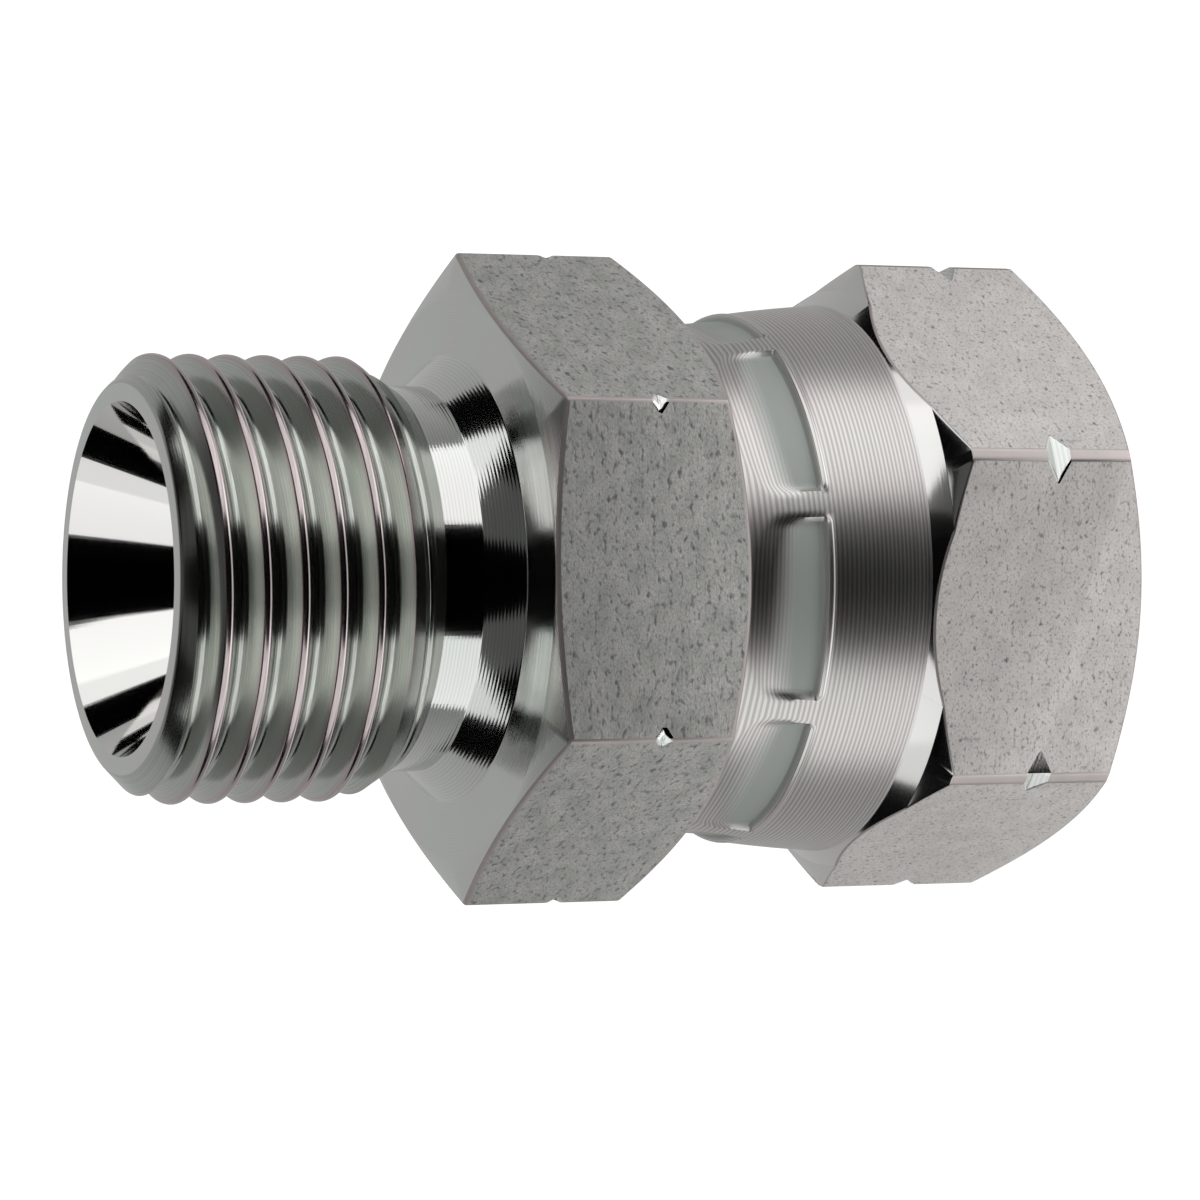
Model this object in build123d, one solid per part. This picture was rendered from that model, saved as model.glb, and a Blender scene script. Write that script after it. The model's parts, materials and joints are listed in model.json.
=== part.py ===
from build123d import *
import math
import os

# A swivel adapter for hydraulic lines: a turned body with a male pipe thread and a hexagon,
# and a swivel nut crimped over the flange on the body's nose. It stands on the nut's end face.
# The axis is Z, the male end is on top, and the origin is the middle of the nut's end face.
# All sizes are in millimetres and degrees.

# G 1/2 pipe thread of the Whitworth form, right-hand, on both ends
thread_major_d = 20.955
thread_pitch = 25.4 / 14
thread_height_share = 0.640327

# male end of the body, from its end face down to the hexagon
male_reach = 16.1
cone_angle = 60.0
cone_mouth_land = 0.9
bore_d = 11.0
lead_start_below_root = 0.18
lead_angle = 45.0
relief_below_root = 0.19
runout_length = 2.15
relief_length = 1.85
flare_above_crest = 0.16
flare_angle = 45.0

# both hexagons, 27 mm across their flats, with the flats just proud of the nut's collar
flat_over_collar = 0.1425

# body hexagon
hex_length = 10.1
hex_face_inset = 0.2
hex_face_fall = 0.23
hex_front_chamfer = 15.0
hex_back_inset = 0.4
hex_back_chamfer = 26.3
hex_notch_from_front = 5.45
hex_notch_width = 0.7
hex_notch_depth = 0.25

# spigot inside the nut: neck, flange and the nose with its sealing cone
flange_over_thread = 0.92
flange_shoulder = 1.2
flange_thickness = 2.8
nose_under_thread = 0.42
nose_shank = 1.9
nose_tip_wall = 1.2

# running clearances between the body and the nut
rim_gap = 0.4
lip_clearance = 0.4
flange_clearance = 0.3
flange_play = 0.3
flange_front_gap = 0.7

# swivel nut
nut_length = 20.3
nut_corner_turned_off = 0.15
nut_turn = -9.65
nut_front_chamfer = 39.0
nut_end_inset = 0.95
nut_end_chamfer = 29.0
nut_notch_from_end = 5.4
nut_notch_width = 1.2
nut_notch_depth = 0.5
nut_relief_above_crest = 0.17
nut_relief_width = 1.2
nut_mouth_above_crest = 0.25

# crimped collar of the nut
collar_length = 8.7
collar_wall = 1.66
rim_wall = 1.55
lip_length = 4.6
collar_bulge = 0.145

# crimp dents in the collar
dent_count = 8
dent_gap = 6.7
dent_turn = 1.3
dent_from_rim = 3.5
dent_step_length = 0.25
dent_depth = 0.26
dent_rim_depth = 0.08

# how far the cutting shapes reach past the surfaces that they cut
cut_overrun = 1.0

# radii that follow from the sizes above
thread_r = thread_major_d / 2
root_r = thread_r - thread_height_share * thread_pitch
bore_r = bore_d / 2
lead_r = root_r - lead_start_below_root
mouth_r = lead_r - cone_mouth_land
relief_r = root_r - relief_below_root
flare_r = thread_r + flare_above_crest
flange_r = thread_r + flange_over_thread
neck_r = flange_r - flange_shoulder
nose_r = root_r - nose_under_thread
tip_r = bore_r + nose_tip_wall
lip_r = neck_r + lip_clearance
skirt_r = flange_r + flange_clearance
collar_r = skirt_r + collar_wall
rim_r = lip_r + rim_wall
flat_r = collar_r + flat_over_collar
hex_corner_r = flat_r * 2 / math.sqrt(3)
nut_corner_r = hex_corner_r - nut_corner_turned_off

# heights of the faces that the pieces share
nut_rim_z = nut_length
hex_back_z = nut_rim_z + rim_gap
hex_front_z = hex_back_z + hex_length
hex_middle_z = (hex_back_z + hex_front_z) / 2
male_end_z = hex_front_z + male_reach
lip_shoulder_z = nut_rim_z - lip_length
flange_back_z = lip_shoulder_z - flange_play
flange_front_z = flange_back_z - flange_thickness
nut_shoulder_z = flange_front_z - flange_front_gap
collar_end_z = nut_rim_z - collar_length
half_cone = math.radians(cone_angle / 2)
nose_cone_z = flange_front_z - nose_shank
nose_tip_z = nose_cone_z - (nose_r - tip_r) / math.tan(half_cone)


def rise(run, angle):
    """Height of a slope over a radial run, with the angle taken from the plane across the axis."""
    return run * math.tan(math.radians(angle))


def turned(*points):
    """Solid of revolution from (radius, height) points."""
    outline = Polyline(*[(radius, 0, height) for radius, height in points], close=True)
    return revolve(make_face(outline), Axis.Z)


def hexagon_bar(bottom_z, top_z):
    """Hexagonal bar with two of its corners on the X axis."""
    section = RegularPolygon(flat_r, 6, major_radius=False)
    return Pos(0, 0, bottom_z) * extrude(section, top_z - bottom_z)


def corner_notch(corner_r, depth, width, middle_z):
    """Ring with a V section that marks the corners of a hexagon as it is cut away."""
    return turned(
        (corner_r - depth, middle_z),
        (corner_r + depth, middle_z + width),
        (corner_r + depth, middle_z - width),
    )


def male_end():
    """Threaded end with its 60 degree seat, lead chamfer, thread run-out, relief and flare."""
    lead_z = male_end_z - rise(thread_r - lead_r, lead_angle)
    flare_z = hex_front_z + rise(flare_r - relief_r, flare_angle)
    relief_z = flare_z + relief_length
    runout_z = relief_z + runout_length
    return turned(
        (mouth_r, male_end_z),
        (lead_r, male_end_z),
        (thread_r, lead_z),
        (thread_r, runout_z),
        (relief_r, relief_z),
        (relief_r, flare_z),
        (flare_r, hex_front_z),
        (flare_r, hex_middle_z),
        (bore_r, hex_middle_z),
        (bore_r, male_end_z - (mouth_r - bore_r) / math.tan(half_cone)),
    )


def body_hexagon():
    """Hexagon with a slightly domed turned face, chamfered corners and a V notch round the corners."""
    face_r = flat_r - hex_face_inset
    back_r = flat_r - hex_back_inset
    outer_r = hex_corner_r + cut_overrun
    face_z = hex_front_z - hex_face_fall
    envelope = turned(
        (bore_r, hex_front_z),
        (flare_r, hex_front_z),
        (face_r, face_z),
        (outer_r, face_z - rise(outer_r - face_r, hex_front_chamfer)),
        (outer_r, hex_back_z + rise(outer_r - back_r, hex_back_chamfer)),
        (back_r, hex_back_z),
        (bore_r, hex_back_z),
    )
    notch_z = hex_front_z - hex_notch_from_front
    notch = corner_notch(hex_corner_r, hex_notch_depth, hex_notch_width, notch_z)
    return hexagon_bar(hex_back_z, hex_front_z) & envelope - notch


def spigot():
    """Neck, captive flange and nose, which sit inside the nut."""
    return turned(
        (bore_r, hex_middle_z),
        (neck_r, hex_middle_z),
        (neck_r, flange_back_z),
        (flange_r, flange_back_z),
        (flange_r, flange_front_z),
        (nose_r, flange_front_z),
        (nose_r, nose_cone_z),
        (tip_r, nose_tip_z),
        (bore_r, nose_tip_z),
    )


def adapter_body():
    """The one turned piece that carries the male thread, the hexagon and the nose."""
    return male_end() + body_hexagon() + spigot()


def collar_outline():
    """Half section of the nut's collar, its outside rolled in towards the rim by the crimping."""
    middle = ((rim_r + collar_r) / 2 + collar_bulge, 0, (nut_rim_z + collar_end_z) / 2)
    side = ThreePointArc((rim_r, 0, nut_rim_z), middle, (collar_r, 0, collar_end_z))
    top = side @ 0
    foot = side @ 1
    inner = Polyline(foot, (0, 0, foot.Z), (0, 0, top.Z), top)
    return make_face(side + inner)


def crimp_dents():
    """Wedges round the collar that leave the pressed dents, deepest at their step."""
    dent_pitch = 360 / dent_count
    dent_span = dent_pitch - dent_gap
    step_z = nut_rim_z - dent_from_rim
    slope = (collar_r - rim_r) / collar_length
    crown = collar_bulge * 4 * (dent_from_rim / collar_length) * (1 - dent_from_rim / collar_length)
    skin_r = rim_r + slope * dent_from_rim + crown
    outer_r = collar_r + cut_overrun
    section = make_face(
        Polyline(
            (rim_r - dent_rim_depth, 0, nut_rim_z + cut_overrun),
            (rim_r - dent_rim_depth, 0, nut_rim_z),
            (skin_r - dent_depth, 0, step_z),
            (skin_r + dent_depth, 0, step_z - 2 * dent_step_length),
            (outer_r, 0, step_z - 2 * dent_step_length),
            (outer_r, 0, nut_rim_z + cut_overrun),
            close=True,
        )
    )
    wedge = Rot(0, 0, -dent_span / 2) * revolve(section, Axis.Z, dent_span)
    first = nut_turn + dent_turn - 90
    return [Rot(0, 0, first + i * dent_pitch) * wedge for i in range(dent_count)]


def nut_bore():
    """Everything hollow in the nut: the crimped lip, the flange chamber, the thread and its mouth."""
    relief_out_r = thread_r + nut_relief_above_crest
    mouth_out_r = thread_r + nut_mouth_above_crest
    thread_top_z = nut_shoulder_z - nut_relief_width
    return turned(
        (0, nut_rim_z),
        (lip_r, nut_rim_z),
        (lip_r, lip_shoulder_z),
        (skirt_r, lip_shoulder_z),
        (skirt_r, nut_shoulder_z),
        (relief_out_r, nut_shoulder_z),
        (relief_out_r, thread_top_z),
        (root_r, thread_top_z),
        (root_r, rise(mouth_out_r - root_r, lead_angle)),
        (mouth_out_r, 0),
        (0, 0),
    )


def nut_hexagon():
    """Hexagon of the nut with turned corners, a wide cone to the collar and an end chamfer."""
    end_r = flat_r - nut_end_inset
    envelope = turned(
        (0, collar_end_z),
        (collar_r, collar_end_z),
        (nut_corner_r, collar_end_z - rise(nut_corner_r - collar_r, nut_front_chamfer)),
        (nut_corner_r, rise(nut_corner_r - end_r, nut_end_chamfer)),
        (end_r, 0),
        (0, 0),
    )
    notch = corner_notch(nut_corner_r, nut_notch_depth, nut_notch_width, nut_notch_from_end)
    bar = Rot(0, 0, nut_turn) * hexagon_bar(0, nut_rim_z)
    return bar & envelope - notch


def swivel_nut():
    """The one turned piece that screws onto the mating fitting, with its collar crimped."""
    collar = revolve(collar_outline(), Axis.Z) - crimp_dents()
    return nut_hexagon() + collar - nut_bore()


pieces = {"adapter_body": adapter_body(), "swivel_nut": swivel_nut()}
for name, piece in pieces.items():
    export_step(piece, f"parts/{name}.step")
    print(name, "volume", round(piece.volume, 1))
print("overall height", round(male_end_z, 3), "nose tip height", round(nose_tip_z, 3))
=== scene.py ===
import json
import math
import bmesh
import bpy
from mathutils import Matrix, Vector

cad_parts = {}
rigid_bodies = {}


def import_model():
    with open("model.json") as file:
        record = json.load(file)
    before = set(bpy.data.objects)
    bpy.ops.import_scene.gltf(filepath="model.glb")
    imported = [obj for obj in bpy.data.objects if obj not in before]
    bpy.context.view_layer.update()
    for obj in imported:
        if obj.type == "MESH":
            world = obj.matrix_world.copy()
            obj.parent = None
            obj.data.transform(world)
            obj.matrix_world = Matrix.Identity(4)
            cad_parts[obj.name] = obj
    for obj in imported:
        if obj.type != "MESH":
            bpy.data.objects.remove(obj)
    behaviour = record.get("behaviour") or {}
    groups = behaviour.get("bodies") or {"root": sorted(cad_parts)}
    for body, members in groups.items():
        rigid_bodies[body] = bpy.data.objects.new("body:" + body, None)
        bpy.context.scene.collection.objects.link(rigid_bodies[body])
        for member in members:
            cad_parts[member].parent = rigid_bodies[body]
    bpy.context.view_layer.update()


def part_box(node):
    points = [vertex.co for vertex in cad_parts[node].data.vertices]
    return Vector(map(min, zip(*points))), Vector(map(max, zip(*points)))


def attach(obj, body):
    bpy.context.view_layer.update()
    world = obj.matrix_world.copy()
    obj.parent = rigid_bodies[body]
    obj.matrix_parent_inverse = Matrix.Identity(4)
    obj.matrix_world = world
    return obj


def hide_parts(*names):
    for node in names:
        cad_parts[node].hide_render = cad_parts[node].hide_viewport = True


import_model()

bodyLow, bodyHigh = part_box("adapter_body")
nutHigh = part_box("swivel_nut")[1]

# modelling is done in millimetres, and each finished piece is brought to metres
mm = 0.001
maleEnd = bodyHigh.z / mm        # height of the male end's face
noseTip = bodyLow.z / mm         # lowest point of the nose, inside the nut
flatRadius = bodyHigh.y / mm     # from the axis to a flat of either hexagon
cornerRadius = bodyHigh.x / mm   # from the axis to a corner of the body's hexagon
nutRim = nutHigh.z / mm          # top of the crimped collar
smoothAngle = 25                 # faces that meet at less than this shade as one surface

# G 1/2 pipe thread, right-hand, the same inside the nut
thread = {
    "crest": 10.4775,
    "pitch": 25.4 / 14,
    "depth": 0.640327 * 25.4 / 14,
    "rounding": 0.137329 * 25.4 / 14,
    "flank": 27.5,
    "arcSteps": 7,
    "flankSteps": 3,
    "stepsPerTurn": 168,
}


def selectNothing():
    if bpy.context.mode != "OBJECT":
        bpy.ops.object.mode_set(mode="OBJECT")
    bpy.ops.object.select_all(action="DESELECT")


def onlySelect(piece):
    selectNothing()
    piece.select_set(True)
    bpy.context.view_layer.objects.active = piece


def editAll(piece):
    onlySelect(piece)
    bpy.ops.object.mode_set(mode="EDIT")
    bpy.ops.mesh.select_mode(type="VERT")
    bpy.ops.mesh.select_all(action="SELECT")


def selectEdges(piece, test):
    # selects the edges that pass the test, and nothing else
    editAll(piece)
    bpy.ops.mesh.select_all(action="DESELECT")
    bpy.ops.mesh.select_mode(type="EDGE")
    mesh = bmesh.from_edit_mesh(piece.data)
    for edge in mesh.edges:
        if test(edge):
            edge.select = True
    mesh.select_flush_mode()
    bmesh.update_edit_mesh(piece.data)


def softened(corners, arcSteps=3):
    # corners are (radius, height, rounding); rounded ones become short arcs
    outline = []
    for i, (r, z, rounding) in enumerate(corners):
        here = Vector((r, z))
        if rounding == 0:
            outline.append(here)
            continue
        before = (Vector(corners[i - 1][:2]) - here).normalized()
        after = (Vector(corners[(i + 1) % len(corners)][:2]) - here).normalized()
        half = before.angle(after) / 2
        centre = here + (before + after).normalized() * rounding / math.sin(half)
        start = here + before * rounding / math.tan(half) - centre
        end = here + after * rounding / math.tan(half) - centre
        turn = start.angle_signed(end)
        for k in range(arcSteps + 1):
            a = -turn * k / arcSteps
            outline.append(centre + Vector((start.x * math.cos(a) - start.y * math.sin(a),
                                            start.x * math.sin(a) + start.y * math.cos(a))))
    return outline


def drawOutline(name, outline, closed=True):
    # one vertex, extruded from point to point in the XZ plane
    selectNothing()
    bpy.ops.mesh.primitive_plane_add(size=0.1)
    piece = bpy.context.object
    piece.name = name
    piece.data.name = name
    editAll(piece)
    bpy.ops.mesh.merge(type="CENTER")
    bpy.ops.transform.translate(value=(outline[0].x, 0, outline[0].y))
    for previous, point in zip(outline, outline[1:]):
        move = (point.x - previous.x, 0, point.y - previous.y)
        bpy.ops.mesh.extrude_vertices_move(TRANSFORM_OT_translate={"value": move})
    if closed:
        mesh = bmesh.from_edit_mesh(piece.data)
        ends = [v for v in mesh.verts if len(v.link_edges) == 1]
        for v in mesh.verts:
            v.select = v in ends
        bmesh.update_edit_mesh(piece.data)
        bpy.ops.mesh.edge_face_add()
    return piece


def turnOnLathe(name, outline, steps):
    piece = drawOutline(name, outline)
    editAll(piece)
    bpy.ops.mesh.spin(steps=steps, angle=math.tau, center=(0, 0, 0), axis=(0, 0, 1))
    bpy.ops.mesh.select_all(action="SELECT")
    bpy.ops.mesh.remove_doubles(threshold=1e-4)
    bpy.ops.mesh.normals_make_consistent(inside=False)
    bpy.ops.object.mode_set(mode="OBJECT")
    return piece


def sawOff(piece, place, direction):
    editAll(piece)
    bpy.ops.mesh.bisect(plane_co=place, plane_no=direction, use_fill=True, clear_outer=True, threshold=1e-5)
    bpy.ops.object.mode_set(mode="OBJECT")


def flatDirections(turn):
    # the way that each of a hexagon's six flats faces
    angles = [math.radians(turn + 30 + 60 * k) for k in range(6)]
    return [Vector((math.cos(a), math.sin(a), 0)) for a in angles]


def millHexagon(piece, turn, edgeBreak):
    # six cuts leave the flats, then their outlines are broken by a small bevel
    onPlane = 1e-3        # how far off the flat a point may lie
    cutCorners = 12       # the cuts' own faces have more corners than this
    shortEdge = 0.03      # shorter edges than this are closed, so that the bevel runs evenly
    directions = flatDirections(turn)
    for direction in directions:
        sawOff(piece, direction * flatRadius, direction)

    def onFlat(vertex):
        return any(abs(vertex.co.dot(d) - flatRadius) < onPlane for d in directions)

    def outlineOfFlat(edge):
        return any(len(f.verts) > cutCorners and all(onFlat(v) for v in f.verts) for f in edge.link_faces)

    selectEdges(piece, outlineOfFlat)
    bpy.ops.mesh.remove_doubles(threshold=shortEdge)
    selectEdges(piece, outlineOfFlat)
    bpy.ops.mesh.bevel(offset=edgeBreak, segments=2, affect="EDGES", clamp_overlap=False)
    bpy.ops.object.mode_set(mode="OBJECT")


def threadRod(name, crest, bottom, top, crestHeight):
    # a rod with the full thread form, closed by a flat cut at each end
    pitch, depth, rounding = thread["pitch"], thread["depth"], thread["rounding"]
    lean = math.radians(90 - thread["flank"])
    arcRun, arcDrop = rounding * math.sin(lean), rounding * (1 - math.cos(lean))
    half = []
    for k in range(thread["arcSteps"] + 1):
        a = lean * k / thread["arcSteps"]
        half.append((rounding * math.sin(a), rounding * (1 - math.cos(a))))
    for k in range(1, thread["flankSteps"]):
        share = k / thread["flankSteps"]
        half.append((arcRun + share * (pitch / 2 - 2 * arcRun), arcDrop + share * (depth - 2 * arcDrop)))
    half += [(pitch / 2 - run, depth - drop) for run, drop in half[thread["arcSteps"]::-1]]
    # at the +X side the crest lies a quarter turn further up than at the -Y side
    middle = crestHeight + pitch / 4
    turns = math.ceil((top - bottom) / pitch) + 3
    first = middle - math.ceil((middle - bottom) / pitch + 1.5) * pitch
    outline = [Vector((crest - drop, first - run)) for run, drop in reversed(half)]
    outline += [Vector((crest - drop, first + run)) for run, drop in half[1:]]
    rod = drawOutline(name, outline, closed=False)
    onlySelect(rod)
    screw = rod.modifiers.new("helix", "SCREW")
    screw.angle = math.tau
    screw.screw_offset = pitch
    screw.iterations = turns
    screw.steps = screw.render_steps = thread["stepsPerTurn"]
    bpy.ops.object.modifier_apply(modifier=screw.name)
    editAll(rod)
    bpy.ops.mesh.remove_doubles(threshold=1e-3)
    bpy.ops.object.mode_set(mode="OBJECT")
    sawOff(rod, (0, 0, top), (0, 0, 1))
    sawOff(rod, (0, 0, bottom), (0, 0, -1))
    editAll(rod)
    bpy.ops.mesh.normals_make_consistent(inside=False)
    bpy.ops.object.mode_set(mode="OBJECT")
    return rod


def combine(piece, tool, operation):
    onlySelect(piece)
    cut = piece.modifiers.new("cut", "BOOLEAN")
    cut.operation = operation
    cut.solver = "MANIFOLD"
    cut.object = tool
    bpy.ops.object.modifier_apply(modifier=cut.name)
    bpy.data.objects.remove(tool)
    print(piece.name, operation.lower(), len(piece.data.vertices), "vertices")


def bringToMetres(piece):
    onlySelect(piece)
    piece.scale = (mm, mm, mm)
    bpy.ops.object.transform_apply(location=False, rotation=False, scale=True)
    bpy.ops.object.shade_smooth_by_angle(angle=math.radians(smoothAngle))


bodyShape = {
    "steps": 256,
    "bore": 5.5,
    "mouth": 8.236,             # radius of the 60 degree seat at the end face
    "endEdge": 9.136,           # where the end face meets the 45 degree lead
    "leadRounding": 0.4,
    "reliefTop": 12.738,        # measured down from the male end
    "relief": 9.126,
    "runoutTop": 10.588,
    "flareTop": 14.588,
    "flare": 10.6375,
    "face": 16.1,
    "faceEdge": 13.3,
    "faceFall": 0.23,
    "frontChamfer": 15.0,
    "hexLength": 10.1,
    "backEdge": 13.1,
    "backChamfer": 26.3,
    "notchFromFace": 5.45,
    "notchDepth": 0.25,
    "notchWidth": 0.7,
    "edgeBreak": 0.16,
    "neck": 10.1975,
    "flange": 11.3975,
    "flangeBack": 31.5,
    "flangeFront": 34.3,
    "flangeEdge": 0.3,
    "nose": 8.896,
    "noseCone": 36.2,
    "noseTip": 6.7,
    "tipChamfer": 0.3,
    "crestBelowEnd": 0.08,      # a thread crest at the -Y side, measured down from the end face
    "barOver": 0.4,             # the bar stands out past the corners before it is milled
    "hole": 2.0,                # core and rod start as rings, and the drill takes the rest
    "overlap": 0.7,             # the core reaches this far into the rod
    "crestOver": 0.15,
    "rodFoot": 8.6,
    "rodLength": 14.5,
}


def rise(run, angle):
    # height of a slope over a radial run
    return run * math.tan(math.radians(angle))


def makeBody():
    s = bodyShape
    end = maleEnd
    outer = cornerRadius + s["barOver"]
    rodEnd = end - s["reliefTop"] + s["overlap"]    # the core stops here, inside the threaded rod
    face = end - s["face"]
    faceEdge = face - s["faceFall"]
    back = face - s["hexLength"]
    notch = face - s["notchFromFace"]
    notchOut = cornerRadius - s["notchDepth"]
    notchHalf = s["notchWidth"] * (outer - notchOut) / (2 * s["notchDepth"])
    core = turnOnLathe("adapter_body_steel", softened([
        (s["hole"], noseTip, 0),
        (s["noseTip"], noseTip, 0.12),
        (s["nose"], end - s["noseCone"], 0.1),
        (s["nose"], end - s["flangeFront"], 0.25),
        (s["flange"], end - s["flangeFront"], s["flangeEdge"]),
        (s["flange"], end - s["flangeBack"], s["flangeEdge"]),
        (s["neck"], end - s["flangeBack"], 0.2),
        (s["neck"], back, 0.2),
        (s["backEdge"], back, 0.08),
        (outer, back + rise(outer - s["backEdge"], s["backChamfer"]), 0),
        (outer, notch - notchHalf, 0),
        (notchOut, notch, 0.05),
        (outer, notch + notchHalf, 0),
        (outer, faceEdge - rise(outer - s["faceEdge"], s["frontChamfer"]), 0),
        (s["faceEdge"], faceEdge, 0.3),
        (s["flare"], face, 0.12),
        (s["relief"], end - s["flareTop"], 0.1),
        (s["relief"], rodEnd, 0),
        (s["hole"], rodEnd, 0),
    ]), s["steps"])
    millHexagon(core, 0, s["edgeBreak"])
    print("body: hexagon milled")

    # the threaded end: a rod with the thread's form, turned down to the lead and the run-out
    crestOut = thread["crest"] + s["crestOver"]
    runout = (thread["crest"] - s["relief"]) / (s["reliefTop"] - s["runoutTop"])
    inside = s["rodFoot"]
    foot = end - s["reliefTop"] - (s["relief"] - inside) / runout
    envelope = turnOnLathe("thread_envelope", softened([
        (s["hole"], foot, 0),
        (inside, foot, 0),
        (crestOut, end - s["reliefTop"] + (crestOut - s["relief"]) / runout, 0),
        (crestOut, end - (crestOut - s["endEdge"]), 0),
        (s["endEdge"], end, s["leadRounding"]),
        (s["hole"], end, 0),
    ]), s["steps"])
    rodBottom = end - s["rodLength"]
    rod = threadRod("male_thread", thread["crest"], rodBottom, end + 1, end - s["crestBelowEnd"])
    combine(rod, envelope, "INTERSECT")
    combine(core, rod, "UNION")

    # the 60 degree seat and the flow bore go right through
    seatDepth = (s["mouth"] - s["bore"]) / math.tan(math.radians(30))
    overrun, drillCore = 1.0, 0.5
    drill = turnOnLathe("drill", softened([
        (drillCore, noseTip - overrun, 0),
        (s["bore"] + s["tipChamfer"] + overrun, noseTip - overrun, 0),
        (s["bore"], noseTip + s["tipChamfer"], 0),
        (s["bore"], end - seatDepth, 0.3),
        (s["mouth"], end, 0),
        (s["mouth"] + overrun, end + overrun / 2, 0),
        (drillCore, end + overrun / 2, 0),
    ]), s["steps"])
    combine(core, drill, "DIFFERENCE")
    return core


nutShape = {
    "steps": 448,
    "turn": -9.65,
    "mouth": 10.7275,
    "endEdge": 12.55,
    "endChamfer": 29.0,
    "corner": 15.438,
    "notchFromEnd": 5.4,
    "notchDepth": 0.5,
    "notchWidth": 1.2,
    "innerCone": 50.0,          # steep beside the collar, flatter from coneMiddle out to the corner
    "outerCone": 30.0,
    "coneMiddle": 14.1,
    "edgeBreak": 0.07,
    "collarLength": 8.7,
    "collar": 13.3575,
    "rim": 12.1475,
    "bulge": 0.145,
    "lip": 10.5975,
    "lipLength": 4.6,
    "skirt": 11.6975,
    "shoulder": 11.9,
    "relief": 10.6475,
    "reliefFoot": 10.7,
    "minor": 9.42,
    "crestAtEnd": 0.6,
    "sideFrom": 0.3,            # rings of points up the collar: where they start and end, and their spacing
    "sideTo": 0.12,
    "ringsPlain": 0.35,
    "ringsDents": 0.13,
    "ringsStep": 0.05,          # close together from a little below the dents' step to just above it
    "stepBelow": 0.9,
    "stepAbove": 0.2,
}
dents = {
    "count": 8,
    "halfSpan": 19.15,          # degrees from a dent's middle to its side walls
    "turn": 1.3,                # degrees past the nut's own turn
    "fromRim": 3.5,             # the step, where a dent is deepest
    "wall": 0.22,
    "depth": 0.3,
    "length": 3.7,              # from the step up to where the floor meets the collar, shorter at the sides
    "cornerSpan": 26.0,
    "ridge": 0.06,              # metal thrown up just below the step
    "ridgeWidth": 0.16,
    "sideSoft": 1.3,            # degrees over which a dent's side walls fade, at the step
    "sideFade": 2.0,            # and how many more at the rim
}


def collarRadius(z):
    s = nutShape
    t = (nutRim - z) / s["collarLength"]
    return s["rim"] + (s["collar"] - s["rim"]) * t + s["bulge"] * 4 * t * (1 - t)


def smoothStep(x):
    x = min(max(x, 0.0), 1.0)
    return x * x * (3 - 2 * x)


def dentDepth(angle, z):
    # how far a point is pushed in; its angle is measured from the middle of a dent, in degrees
    d = dents
    step = nutRim - d["fromRim"]
    side = abs(angle)
    along = z - step
    length = d["length"] * math.sqrt(max(1 - (side / d["cornerSpan"]) ** 2, 0.01))
    floor = d["depth"] * max(1 - max(along, 0) / length, 0)
    soft = d["sideSoft"] + d["sideFade"] * smoothStep(along / length)
    inside = smoothStep((d["halfSpan"] + soft / 2 - side) / soft)
    wall = smoothStep((along + d["wall"]) / d["wall"])
    ridge = d["ridge"] * math.exp(-((along + d["wall"] + d["ridgeWidth"] / 2) / d["ridgeWidth"]) ** 2)
    return floor * inside * wall - ridge * inside


def dentAngle(x, y):
    # degrees from the middle of the nearest dent
    pitch = 360 / dents["count"]
    first = nutShape["turn"] + dents["turn"] - 90
    return (math.degrees(math.atan2(y, x)) - first + pitch / 2) % pitch - pitch / 2


def pressDents(piece):
    # pushes in the points on the collar's outside
    skin, wall = 0.02, 0.3
    foot = nutRim - nutShape["collarLength"] - skin / 2
    for vertex in piece.data.vertices:
        x, y, z = vertex.co
        r = math.hypot(x, y)
        if z < foot or r < nutShape["rim"] - wall or abs(r - collarRadius(z)) > skin:
            continue
        scale = (r - dentDepth(dentAngle(x, y), z)) / r
        vertex.co.x *= scale
        vertex.co.y *= scale


def markPressed(piece):
    # how far each point lies in a dent, from 0 to 1, for the collar's finish
    wall, shareFrom, shareRange = 0.6, 0.3, 0.35
    mark = piece.data.attributes.new("pressed", "FLOAT", "POINT")
    for i, vertex in enumerate(piece.data.vertices):
        x, y, z = vertex.co / mm
        if z < nutRim - nutShape["collarLength"] or math.hypot(x, y) < nutShape["rim"] - wall:
            continue
        share = dentDepth(dentAngle(x, y), z) / dents["depth"]
        mark.data[i].value = min(max((share - shareFrom) / shareRange, 0), 1)


def collarSide(foot):
    # points up the collar's outside
    s = nutShape
    step = nutRim - dents["fromRim"]
    side = []
    z = foot + s["sideFrom"]
    while z < nutRim - s["sideTo"]:
        side.append((collarRadius(z), z, 0))
        if step - s["stepBelow"] < z < step + s["stepAbove"]:
            z += s["ringsStep"]
        else:
            z += s["ringsDents"] if z > step else s["ringsPlain"]
    return side


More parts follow.
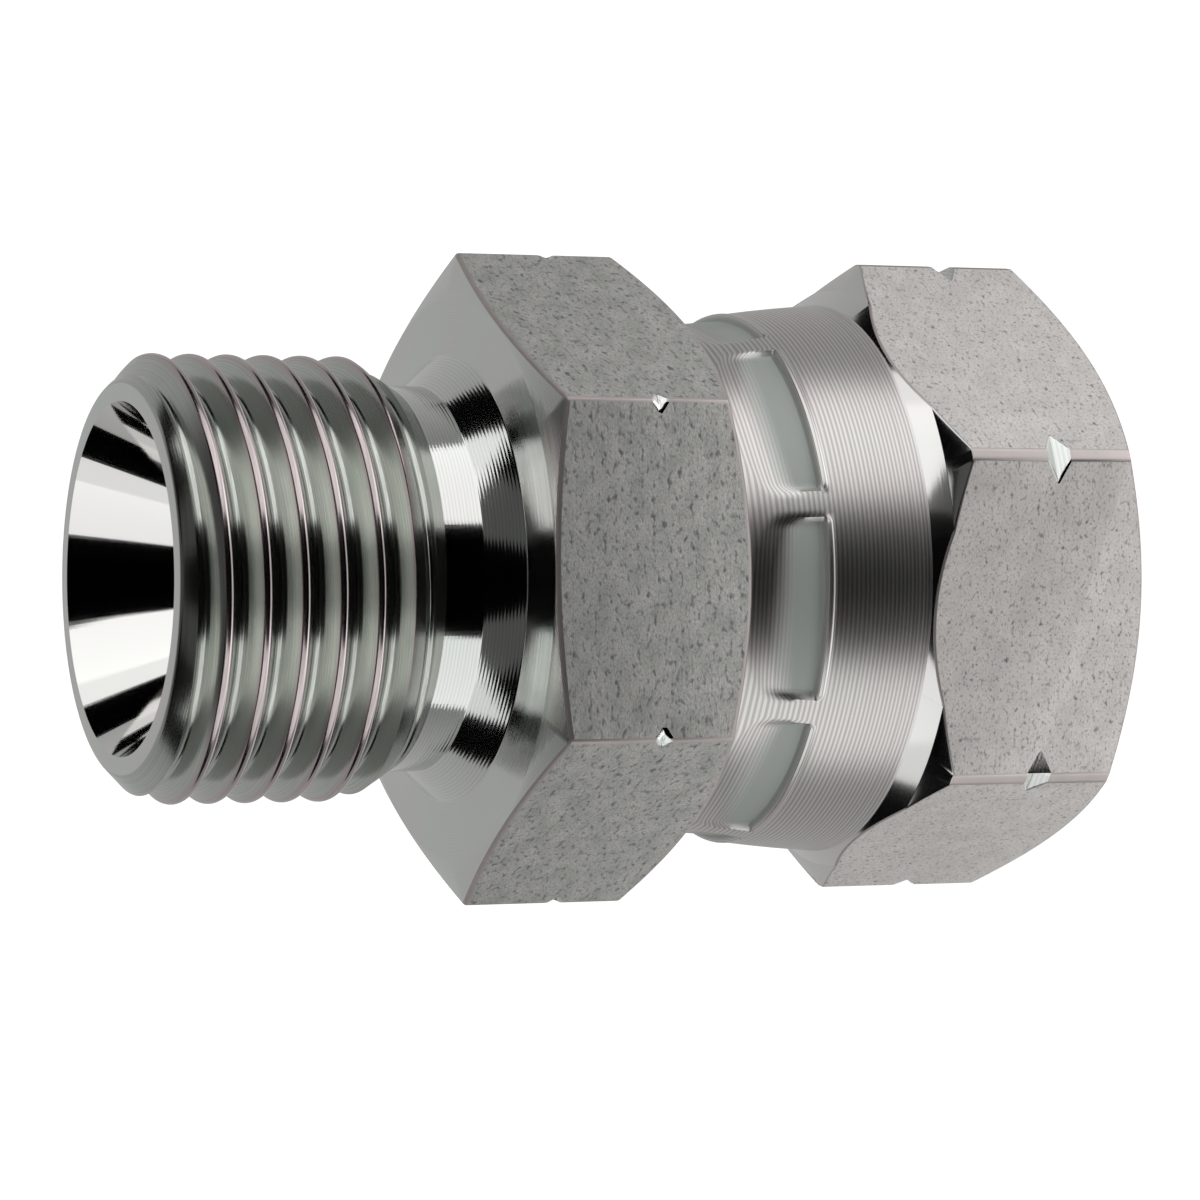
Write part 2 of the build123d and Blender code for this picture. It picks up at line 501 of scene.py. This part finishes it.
def makeNut():
    s = nutShape
    notchOut = s["corner"] - s["notchDepth"]
    notchHalf = s["notchWidth"] / 2
    foot = nutRim - s["collarLength"]
    coneFoot = foot - rise(s["coneMiddle"] - s["collar"], s["innerCone"])
    nut = turnOnLathe("swivel_nut_steel", softened([
        (s["mouth"], 0, 0.1),
        (s["endEdge"], 0, 0.1),
        (s["corner"], rise(s["corner"] - s["endEdge"], s["endChamfer"]), 0.1),
        (s["corner"], s["notchFromEnd"] - notchHalf, 0),
        (notchOut, s["notchFromEnd"], 0.05),
        (s["corner"], s["notchFromEnd"] + notchHalf, 0),
        (s["corner"], coneFoot - rise(s["corner"] - s["coneMiddle"], s["outerCone"]), 0.1),
        (s["coneMiddle"], coneFoot, 0.05),
        (s["collar"], foot, 0.12),
        *collarSide(foot),
        (s["rim"], nutRim, 0.1),
        (s["lip"], nutRim, 0.3),
        (s["lip"], nutRim - s["lipLength"], 0.2),
        (s["skirt"], nutRim - s["lipLength"], 0.2),
        (s["skirt"], s["shoulder"], 0.2),
        (s["relief"], s["shoulder"], 0),
        (s["relief"], s["reliefFoot"], 0),
        (s["minor"], s["reliefFoot"], 0),
        (s["minor"], s["mouth"] - s["minor"], 0),
    ]), s["steps"])
    print("nut turned", len(nut.data.vertices), "vertices")
    pressDents(nut)
    millHexagon(nut, s["turn"], s["edgeBreak"])
    clearance, below, above = 0.02, -1.0, s["reliefFoot"] + 0.6
    tap = threadRod("female_thread", thread["crest"] + clearance, below, above, s["crestAtEnd"])
    combine(nut, tap, "DIFFERENCE")
    return nut


def linearColour(hexText):
    # sRGB hex to the linear values that a shader takes
    values = [int(hexText[i:i + 2], 16) / 255 for i in (1, 3, 5)]
    return tuple(v / 12.92 if v <= 0.04045 else ((v + 0.055) / 1.055) ** 2.4 for v in values) + (1.0,)


def addNode(tree, kind, settings, links=None):
    node = tree.nodes.new(kind)
    for name, value in settings.items():
        if isinstance(name, int) or name in node.inputs:
            node.inputs[name].default_value = value
        else:
            setattr(node, name, value)
    for name, source in (links or {}).items():
        tree.links.new(source, node.inputs[name])
    return node


def startMaterial(name):
    material = bpy.data.materials.new(name)
    material.use_nodes = True
    tree = material.node_tree
    shader = tree.nodes["Principled BSDF"]
    place = addNode(tree, "ShaderNodeTexCoord", {}).outputs["Object"]
    return material, tree, shader, place


def radiusAndHeight(tree, place):
    # distance from the axis and height, both in millimetres
    parts = addNode(tree, "ShaderNodeSeparateXYZ", {}, {0: place})
    flat = addNode(tree, "ShaderNodeCombineXYZ", {}, {0: parts.outputs[0], 1: parts.outputs[1]})
    radius = addNode(tree, "ShaderNodeVectorMath", {"operation": "LENGTH"}, {0: flat.outputs[0]})
    toMillimetres = {"operation": "MULTIPLY", 1: 1 / mm}
    reach = addNode(tree, "ShaderNodeMath", toMillimetres, {0: radius.outputs["Value"]})
    height = addNode(tree, "ShaderNodeMath", toMillimetres, {0: parts.outputs[2]})
    return reach.outputs[0], height.outputs[0]


def toolMarks(tree, place, finish):
    # fine lines round the axis: noise, plus the even ripple of the tool's feed
    # the radius counts more than the height, so that the lines also show on every cone and end face
    radiusShare = 2.4
    radius, height = radiusAndHeight(tree, place)
    along = addNode(tree, "ShaderNodeMath", {"operation": "MULTIPLY_ADD", 1: radiusShare},
                    {0: radius, 2: height})
    feed = addNode(tree, "ShaderNodeMath", {"operation": "MULTIPLY", 1: 1 / finish["linePitch"]},
                   {0: along.outputs[0]})
    grainOfLines = {"noise_dimensions": "1D", "Scale": 1.0, "Detail": 3.0, "Roughness": 0.65}
    lines = addNode(tree, "ShaderNodeTexNoise", grainOfLines, {"W": feed.outputs[0]})
    wave = addNode(tree, "ShaderNodeMath", {"operation": "MULTIPLY", 1: math.tau}, {0: feed.outputs[0]})
    ripple = addNode(tree, "ShaderNodeMath", {"operation": "SINE"}, {0: wave.outputs[0]})
    both = addNode(tree, "ShaderNodeMath", {"operation": "MULTIPLY_ADD", 1: finish["ripple"]},
                   {0: ripple.outputs[0], 2: lines.outputs["Fac"]})
    return both.outputs[0]


def mixColours(tree, factor, first, second):
    mix = addNode(tree, "ShaderNodeMix", {"data_type": "RGBA"})
    for socket, colour in ((6, first), (7, second)):
        if isinstance(colour, str):
            mix.inputs[socket].default_value = linearColour(colour)
        else:
            tree.links.new(colour, mix.inputs[socket])
    tree.links.new(factor, mix.inputs[0])
    return mix.outputs[2]


def turnedSteel(name, finish):
    # zinc-plated free-cutting steel, turned: mirror-like along the tool marks and softer across them
    material, tree, shader, place = startMaterial(name)
    marks = toolMarks(tree, place, finish)
    bump = addNode(tree, "ShaderNodeBump", {"Strength": 1.0, "Distance": finish["lineDepth"] * mm},
                   {"Height": marks})
    tangent = addNode(tree, "ShaderNodeTangent", {"direction_type": "RADIAL", "axis": "Z"})
    blotch = addNode(tree, "ShaderNodeTexNoise", {"Scale": 1 / (finish["blotch"] * mm), "Detail": 2.0},
                     {"Vector": place})
    colour = mixColours(tree, blotch.outputs["Fac"], finish["colourA"], finish["colourB"])
    if "crestColour" in finish:
        # the plating is thinner and warmer on the thread's crests than down its flanks
        radius = radiusAndHeight(tree, place)[0]
        crestSpan = {"From Min": finish["crestFrom"], "From Max": finish["crestTo"]}
        crest = addNode(tree, "ShaderNodeMapRange", crestSpan, {"Value": radius})
        colour = mixColours(tree, crest.outputs[0], colour, finish["crestColour"])
    if "paintedGrooveShade" in finish:
        # painted shade: the tool marks' grooves are darkened in the base colour, which keeps them in sight
        # where the light is even
        grooveShadeMask = addNode(tree, "ShaderNodeMapRange", {"From Min": 0.62, "From Max": 0.36}, {"Value": marks})
        share = addNode(tree, "ShaderNodeMath", {"operation": "MULTIPLY", 1: finish["paintedGrooveShade"]},
                        {0: grooveShadeMask.outputs[0]})
        colour = mixColours(tree, share.outputs[0], colour, finish["paintedGrooveShadeColour"])
    shader.inputs["Metallic"].default_value = 1.0
    shader.inputs["Roughness"].default_value = finish["roughness"]
    shader.inputs["Anisotropic"].default_value = finish["anisotropy"]
    if "pressedColour" in finish:
        # the crimping jaws left the dents' floors smooth, matt and a little green
        pressed = addNode(tree, "ShaderNodeAttribute", {"attribute_name": "pressed"}).outputs["Fac"]
        colour = mixColours(tree, pressed, colour, finish["pressedColour"])
        roughSpan = {"To Min": finish["roughness"], "To Max": finish["pressedRoughness"]}
        rough = addNode(tree, "ShaderNodeMapRange", roughSpan, {"Value": pressed})
        tree.links.new(rough.outputs[0], shader.inputs["Roughness"])
        depth = addNode(tree, "ShaderNodeMapRange", {"To Min": finish["lineDepth"] * mm, "To Max": 0.0},
                        {"Value": pressed})
        tree.links.new(depth.outputs[0], bump.inputs["Distance"])
    tree.links.new(colour, shader.inputs["Base Color"])
    tree.links.new(tangent.outputs[0], shader.inputs["Tangent"])
    tree.links.new(bump.outputs[0], shader.inputs["Normal"])
    return material


def drawnSkin(name, finish):
    # the drawn bar's own skin under zinc: matt, with small dark pits drawn out round the bar
    material, tree, shader, place = startMaterial(name)
    turned = addNode(tree, "ShaderNodeMapping", {"Rotation": (0, 0, math.radians(-finish["turn"]))},
                     {"Vector": place})
    parts = addNode(tree, "ShaderNodeSeparateXYZ", {}, {0: turned.outputs[0]})
    angle = addNode(tree, "ShaderNodeMath", {"operation": "ARCTAN2"},
                    {0: parts.outputs[1], 1: parts.outputs[0]})
    arc = addNode(tree, "ShaderNodeMath", {"operation": "MULTIPLY", 1: flatRadius / finish["stretch"]},
                  {0: angle.outputs[0]})
    height = addNode(tree, "ShaderNodeMath", {"operation": "MULTIPLY", 1: 1 / mm}, {0: parts.outputs[2]})
    skin = addNode(tree, "ShaderNodeCombineXYZ", {}, {0: arc.outputs[0], 1: height.outputs[0]}).outputs[0]

    def pits(size, edge, seedShift):
        # soft hollows where the noise runs lowest
        softness = 0.2
        moved = addNode(tree, "ShaderNodeMapping", {"Location": (seedShift, seedShift * 0.7, 0)},
                        {"Vector": skin})
        field = addNode(tree, "ShaderNodeTexNoise", {"Scale": 1 / size, "Detail": 1.5, "Roughness": 0.45},
                        {"Vector": moved.outputs[0]})
        return addNode(tree, "ShaderNodeMapRange", {"From Min": edge, "From Max": edge - softness},
                       {"Value": field.outputs["Fac"]}).outputs[0]

    large = pits(finish["pitSize"], finish["pitEdge"], 0.0)
    small = pits(finish["speckSize"], finish["speckEdge"], 7.3)
    clouds = {"Scale": 1 / finish["cloud"], "Detail": 3.0, "Roughness": 0.6}
    cloud = addNode(tree, "ShaderNodeTexNoise", clouds, {"Vector": skin}).outputs["Fac"]
    grains = {"Scale": 1 / finish["grain"], "Detail": 2.0, "Roughness": 0.7}
    grain = addNode(tree, "ShaderNodeTexNoise", grains, {"Vector": skin}).outputs["Fac"]
    tone = addNode(tree, "ShaderNodeMapRange", {"From Min": 0.35, "From Max": 0.65}, {"Value": cloud})
    fine = addNode(tree, "ShaderNodeMapRange",
                   {"From Min": 0.3, "From Max": 0.7, "To Max": finish["grainShare"]}, {"Value": grain})
    colour = mixColours(tree, tone.outputs[0], finish["colourA"], finish["colourB"])
    colour = mixColours(tree, fine.outputs[0], colour, finish["grainColour"])
    smallShare = addNode(tree, "ShaderNodeMath", {"operation": "MULTIPLY", 1: finish["speckShare"]},
                         {0: small})
    colour = mixColours(tree, smallShare.outputs[0], colour, finish["pitColour"])
    largeShare = addNode(tree, "ShaderNodeMath", {"operation": "MULTIPLY", 1: finish["pitShare"]},
                         {0: large})
    colour = mixColours(tree, largeShare.outputs[0], colour, finish["pitColour"])
    tree.links.new(colour, shader.inputs["Base Color"])
    hollow = addNode(tree, "ShaderNodeMath", {"operation": "MULTIPLY_ADD", 1: -1.0}, {0: large, 2: grain})
    bump = addNode(tree, "ShaderNodeBump", {"Strength": 1.0, "Distance": finish["relief"] * mm},
                   {"Height": hollow.outputs[0]})
    shader.inputs["Metallic"].default_value = finish["metallic"]
    shader.inputs["Roughness"].default_value = finish["roughness"]
    tree.links.new(bump.outputs[0], shader.inputs["Normal"])
    return material


finishes = {
    # the 60 degree seat, turned last and finest: nearly a mirror
    # the grooveShade entries below darken the tool marks' grooves with painted shade
    "seat": {"linePitch": 0.12, "ripple": 0.0, "lineDepth": 0.0006, "blotch": 6.0, "roughness": 0.06,
             "anisotropy": 0.3, "colourA": "#d6d8d4", "colourB": "#dcd8d8"},
    # the cut thread: bright streaks down its flanks, greenish in the grooves
    "thread": {"linePitch": 0.09, "ripple": 0.0, "lineDepth": 0.0025, "blotch": 2.5, "roughness": 0.16,
               "anisotropy": 0.3, "colourA": "#b2b8b1", "colourB": "#c4c4c0",
               "crestFrom": 10.15, "crestTo": 10.35, "crestColour": "#bdb2b2",
               "paintedGrooveShade": 0.3, "paintedGrooveShadeColour": "#5c5e5c"},
    # fine turning: sharp reflections whose borders break up along the tool marks
    "turned": {"linePitch": 0.17, "ripple": 0.45, "lineDepth": 0.0022, "blotch": 5.0, "roughness": 0.09,
               "anisotropy": 0.3, "colourA": "#cbd6cf", "colourB": "#d6d0d0", "paintedGrooveShade": 0.15,
               "paintedGrooveShadeColour": "#8a8a8a"},
    # the collar's coarser turning: broad soft reflections crossed by thin dark lines, from the bump and from
    # painted shade in the tool marks' grooves
    "collar": {"linePitch": 0.15, "ripple": 0.35, "lineDepth": 0.004, "blotch": 4.0, "roughness": 0.31,
               "anisotropy": 0.2, "colourA": "#cfd3cd", "colourB": "#d6cacb", "paintedGrooveShade": 0.45,
               "paintedGrooveShadeColour": "#6c6d6c", "pressedColour": "#b4b9b5", "pressedRoughness": 0.68},
    # the cones beside the nut's collar: smooth, so they show clean white and black fields
    "cone": {"linePitch": 0.15, "ripple": 0.0, "lineDepth": 0.0015, "blotch": 4.0, "roughness": 0.12,
             "anisotropy": 0.2, "colourA": "#cbd0cc", "colourB": "#d6d0d0"},
    # broken edges of the hexagons: dull and a little pink
    "edge": {"linePitch": 0.2, "ripple": 0.0, "lineDepth": 0.002, "blotch": 1.2, "roughness": 0.45,
             "anisotropy": 0.0, "colourA": "#b0aeaa", "colourB": "#c6b9b8"},
}
skins = {
    # the body's flats: grey, with plain dark pits
    "body": {"turn": 0.0, "stretch": 1.35, "pitSize": 0.27, "pitEdge": 0.45, "pitShare": 0.7,
             "speckSize": 0.14, "speckEdge": 0.44, "speckShare": 0.45,
             "cloud": 1.0, "grain": 0.1, "grainShare": 0.6,
             "colourA": "#b0b0a9", "colourB": "#c9c7c1", "grainColour": "#85868a", "pitColour": "#46474f",
             "relief": 0.02, "roughness": 0.6, "metallic": 0.8},
    # the nut's flats: paler, with finer specks
    "nut": {"turn": -9.65, "stretch": 1.2, "pitSize": 0.24, "pitEdge": 0.41, "pitShare": 0.75,
            "speckSize": 0.12, "speckEdge": 0.42, "speckShare": 0.7,
            "cloud": 1.2, "grain": 0.09, "grainShare": 0.55,
            "colourA": "#d8d4d0", "colourB": "#e6e2de", "grainColour": "#b2b0b0", "pitColour": "#55555b",
            "relief": 0.008, "roughness": 0.62, "metallic": 0.75},
}


def paint(piece, rule, materials):
    # the rule gives each face the name of its material
    piece.data.materials.clear()
    for material in materials.values():
        piece.data.materials.append(material)
    slots = {name: slot for slot, name in enumerate(materials)}
    for face in piece.data.polygons:
        face.material_index = slots[rule(face)]


def onFlat(face, turn):
    leanLimit, onPlane = 0.01, 0.004
    if abs(face.normal.z) > leanLimit:
        return False
    centre = face.center / mm
    return any(abs(centre.dot(d) - flatRadius) < onPlane for d in flatDirections(turn))


# where each finish ends: radii and heights in millimetres, and how far a face leans, as the z of its normal
bodyFinish = {
    "edgeFrom": 13.2,
    "edgeLean": (-0.85, 0.93),
    "notchHalf": 0.37,
    "threadFrom": 9.0,
    "endFace": 0.02,
    "seatTo": 8.4,
}
nutFinish = {
    "coneFrom": 13.3075,
    "coneLean": 0.6,
    "coneAboveNotch": 0.8,
    "edgeFrom": 13.4,
    "edgeLean": -0.82,
    "notchHalf": 0.62,
    "threadTo": 10.7,
    "collarBelow": 0.1,
    "collarFrom": 12.0,
}


def bodyRule(face):
    s, f = bodyShape, bodyFinish
    x, y, z = face.center / mm
    r = math.hypot(x, y)
    outward = face.normal.x * x + face.normal.y * y
    hexFace = maleEnd - s["face"]
    onHexagon = r > f["edgeFrom"] and hexFace - s["hexLength"] < z < hexFace
    offNotch = abs(z - (hexFace - s["notchFromFace"])) > f["notchHalf"]
    if onFlat(face, 0):
        return "skin"
    if onHexagon and offNotch and f["edgeLean"][0] < face.normal.z < f["edgeLean"][1]:
        return "edge"
    if r > f["threadFrom"] and maleEnd - s["reliefTop"] < z < maleEnd - f["endFace"]:
        return "thread"
    if r < f["seatTo"] and outward < 0:
        return "seat"
    return "turned"


def nutRule(face):
    s, f = nutShape, nutFinish
    x, y, z = face.center / mm
    r = math.hypot(x, y)
    outward = face.normal.x * x + face.normal.y * y
    collarFoot = nutRim - s["collarLength"]
    aboveNotch = z > s["notchFromEnd"] + f["coneAboveNotch"]
    offNotch = abs(z - s["notchFromEnd"]) > f["notchHalf"]
    if onFlat(face, s["turn"]):
        return "skin"
    if r > f["coneFrom"] and outward > 0 and face.normal.z > f["coneLean"] and aboveNotch:
        return "cone"
    if r > f["edgeFrom"] and z < collarFoot and face.normal.z > f["edgeLean"] and offNotch:
        return "edge"
    if r < f["threadTo"] and z < s["shoulder"]:
        return "thread"
    if z > collarFoot - f["collarBelow"] and outward > 0 and r > f["collarFrom"]:
        return "collar"
    return "turned"


def dressPieces():
    seat = turnedSteel("mirror_turned_zinc_plate", finishes["seat"])
    cutThread = turnedSteel("cut_thread_zinc_plate", finishes["thread"])
    turned = turnedSteel("fine_turned_zinc_plate", finishes["turned"])
    collar = turnedSteel("rough_turned_zinc_plate", finishes["collar"])
    edge = turnedSteel("worn_edge_zinc_plate", finishes["edge"])
    cone = turnedSteel("bright_turned_zinc_plate", finishes["cone"])
    bodySkin = drawnSkin("drawn_bar_zinc_plate_body", skins["body"])
    nutSkin = drawnSkin("drawn_bar_zinc_plate_nut", skins["nut"])
    paint(body, bodyRule, {"seat": seat, "thread": cutThread, "turned": turned, "skin": bodySkin, "edge": edge})
    paint(nut, nutRule, {"thread": cutThread, "collar": collar, "turned": turned, "skin": nutSkin,
                         "edge": edge, "cone": cone})


studio = {
    "boxReach": 420.0,               # softboxes stand this far to the +X and -X side, in millimetres
    "boxEdge": -28.0,                # where their far edge stands in front of the axis, at the floor
    "boxLean": 14.5,                 # that edge leans back by this angle
    "boxWidth": 900.0,
    "boxHeight": 1720.0,
    "boxMiddle": -340.0,             # low, so that the part's upward cones see the dark above them
    "boxPower": {1: 1.2, -1: 1.0},   # radiance
    "cardFrom": 450.0,               # the black card behind the camera; its edges are bearings from -Y
    "cardRight": 30.0,
    "cardLeft": 36.0,
    "cardBottom": -330.0,
    "flagReach": 440.0,              # black flags just behind the softboxes
    "flagFrom": -100.0,
    "flagTo": 124.0,
    "flagBottom": 60.0,
    "studioTop": 2600.0,
    "frontGrey": 0.14,               # the room's own light, from the front (-Y) to the back
    "backGrey": 0.5,
    "frontToBack": (-0.9, 0.95),
    "topGrey": 0.1,                  # and above and below, with where it starts and ends as a direction's z
    "sideToTop": (0.6, 0.88),
    "belowGrey": 1.0,
    "sideToBelow": (-0.45, -0.75),
    "floorSize": 6000.0,
    "floorGlow": 0.75,
    "floorDrop": 0.05,               # the floor lies this far under the nut, so that their faces don't meet
}


def softbox(name, side):
    # stands upright beside the part and shines towards the axis
    s = studio
    lean = math.radians(s["boxLean"])
    across = Vector((0, math.cos(lean), -math.sin(lean)))
    up = Vector((0, math.sin(lean), math.cos(lean)))
    middle = across * (s["boxEdge"] * math.cos(lean) - s["boxWidth"] / 2) + up * s["boxMiddle"]
    middle.x = side * s["boxReach"]
    lamp = bpy.data.lights.new(name, "AREA")
    lamp.shape = "RECTANGLE"
    lamp.size = s["boxWidth"] * mm
    lamp.size_y = s["boxHeight"] * mm
    lamp.energy = s["boxPower"][side] * math.pi * lamp.size * lamp.size_y
    box = bpy.data.objects.new(name, lamp)
    bpy.context.scene.collection.objects.link(box)
    back = Vector((side, 0, 0))
    sideways = up.cross(back)
    box.matrix_world = Matrix.LocRotScale(middle * mm, Matrix((sideways, up, back)).transposed(), None)
    box.visible_camera = False


def card(name, low, high):
    # a black upright card that only reflections see
    low, high = Vector(low) * mm, Vector(high) * mm
    selectNothing()
    bpy.ops.mesh.primitive_plane_add(size=1)
    thing = bpy.context.object
    thing.name = name
    across = Vector((high.x - low.x, high.y - low.y, 0))
    for vertex, (u, v) in zip(thing.data.vertices, ((0, 0), (1, 0), (0, 1), (1, 1))):
        vertex.co = low + across * u + Vector((0, 0, high.z - low.z)) * v
    material = bpy.data.materials.new(name)
    material.use_nodes = True
    shader = material.node_tree.nodes["Principled BSDF"]
    shader.inputs["Base Color"].default_value = (0, 0, 0, 1)
    shader.inputs["Roughness"].default_value = 1.0
    shader.inputs["Specular IOR Level"].default_value = 0.0
    thing.data.materials.append(material)
    thing.visible_camera = False
    thing.visible_diffuse = False
    thing.visible_shadow = False


def lightStudio():
    s = studio
    for side, name in ((1, "softbox_right"), (-1, "softbox_left")):
        softbox(name, side)
        # the flag stands behind the softbox's far edge
        far = s["flagReach"] / math.tan(math.radians(180 - s["flagTo"]))
        reach = side * s["flagReach"]
        card(name + "_flag", (reach, s["flagFrom"], s["flagBottom"]), (reach, far, s["studioTop"]))
    right = s["cardFrom"] * math.tan(math.radians(s["cardRight"]))
    left = s["cardFrom"] * math.tan(math.radians(s["cardLeft"]))
    card("camera_card", (-left, -s["cardFrom"], s["cardBottom"]), (right, -s["cardFrom"], s["studioTop"]))

    floor = bpy.data.materials.new("pale_floor")
    floor.use_nodes = True
    shader = floor.node_tree.nodes["Principled BSDF"]
    shader.inputs["Base Color"].default_value = (0.9, 0.9, 0.9, 1)
    shader.inputs["Roughness"].default_value = 0.9
    shader.inputs["Emission Color"].default_value = (1, 1, 1, 1)
    shader.inputs["Emission Strength"].default_value = s["floorGlow"]
    selectNothing()
    bpy.ops.mesh.primitive_plane_add(size=s["floorSize"] * mm, location=(0, 0, -s["floorDrop"] * mm))
    ground = bpy.context.object
    ground.name = "floor"
    ground.data.materials.append(floor)
    ground.visible_glossy = False

    world = bpy.data.worlds.new("studio")
    bpy.context.scene.world = world
    world.use_nodes = True
    tree = world.node_tree
    back = tree.nodes["Background"]
    toward = addNode(tree, "ShaderNodeTexCoord", {}).outputs["Generated"]
    parts = addNode(tree, "ShaderNodeSeparateXYZ", {}, {0: toward})

    def blend(limits, value, start, end):
        # a soft change from the start to the end grey between two limits of a direction
        settings = {"interpolation_type": "SMOOTHSTEP",
                    "From Min": limits[0], "From Max": limits[1], "To Max": end}
        links = {"Value": value}
        if isinstance(start, float):
            settings["To Min"] = start
        else:
            links["To Min"] = start
        return addNode(tree, "ShaderNodeMapRange", settings, links).outputs[0]

    grey = blend(s["frontToBack"], parts.outputs[1], s["frontGrey"], s["backGrey"])
    upward = blend(s["sideToTop"], parts.outputs[2], grey, s["topGrey"])
    downward = blend(s["sideToBelow"], parts.outputs[2], upward, s["belowGrey"])
    tree.links.new(downward, back.inputs["Color"])
    pale = addNode(tree, "ShaderNodeBackground", {"Color": (1, 1, 1, 1), "Strength": 1.0})
    ray = addNode(tree, "ShaderNodeLightPath", {})
    mix = addNode(tree, "ShaderNodeMixShader", {}, {0: ray.outputs["Is Camera Ray"], 1: back.outputs[0],
                                                    2: pale.outputs[0]})
    tree.links.new(mix.outputs[0], tree.nodes["World Output"].inputs["Surface"])


# the photograph's view: 23 degrees down on the part, turned so that its axis lies across the picture
view = {
    "place": (-6.18, -215.74, 114.71),
    "tilt": (-0.441, 66.912, -91.845),
    "lens": 146.03,
    "sensor": 36.0,
}


def placeCamera():
    lens = bpy.data.cameras.new("camera")
    lens.lens = view["lens"]
    lens.sensor_width = view["sensor"]
    lens.clip_start = 0.01
    camera = bpy.data.objects.new("camera", lens)
    camera.location = Vector(view["place"]) * mm
    camera.rotation_euler = [math.radians(a) for a in view["tilt"]]
    bpy.context.scene.collection.objects.link(camera)
    bpy.context.scene.camera = camera
    bpy.context.scene.view_settings.view_transform = "Standard"


body = makeBody()
bringToMetres(body)
print("body made", len(body.data.polygons), "faces")
nut = makeNut()
bringToMetres(nut)
markPressed(nut)
print("nut made", len(nut.data.polygons), "faces")
dressPieces()
print("materials on")
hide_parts("adapter_body")
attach(body, "adapter")
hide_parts("swivel_nut")
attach(nut, "nut")
lightStudio()
placeCamera()
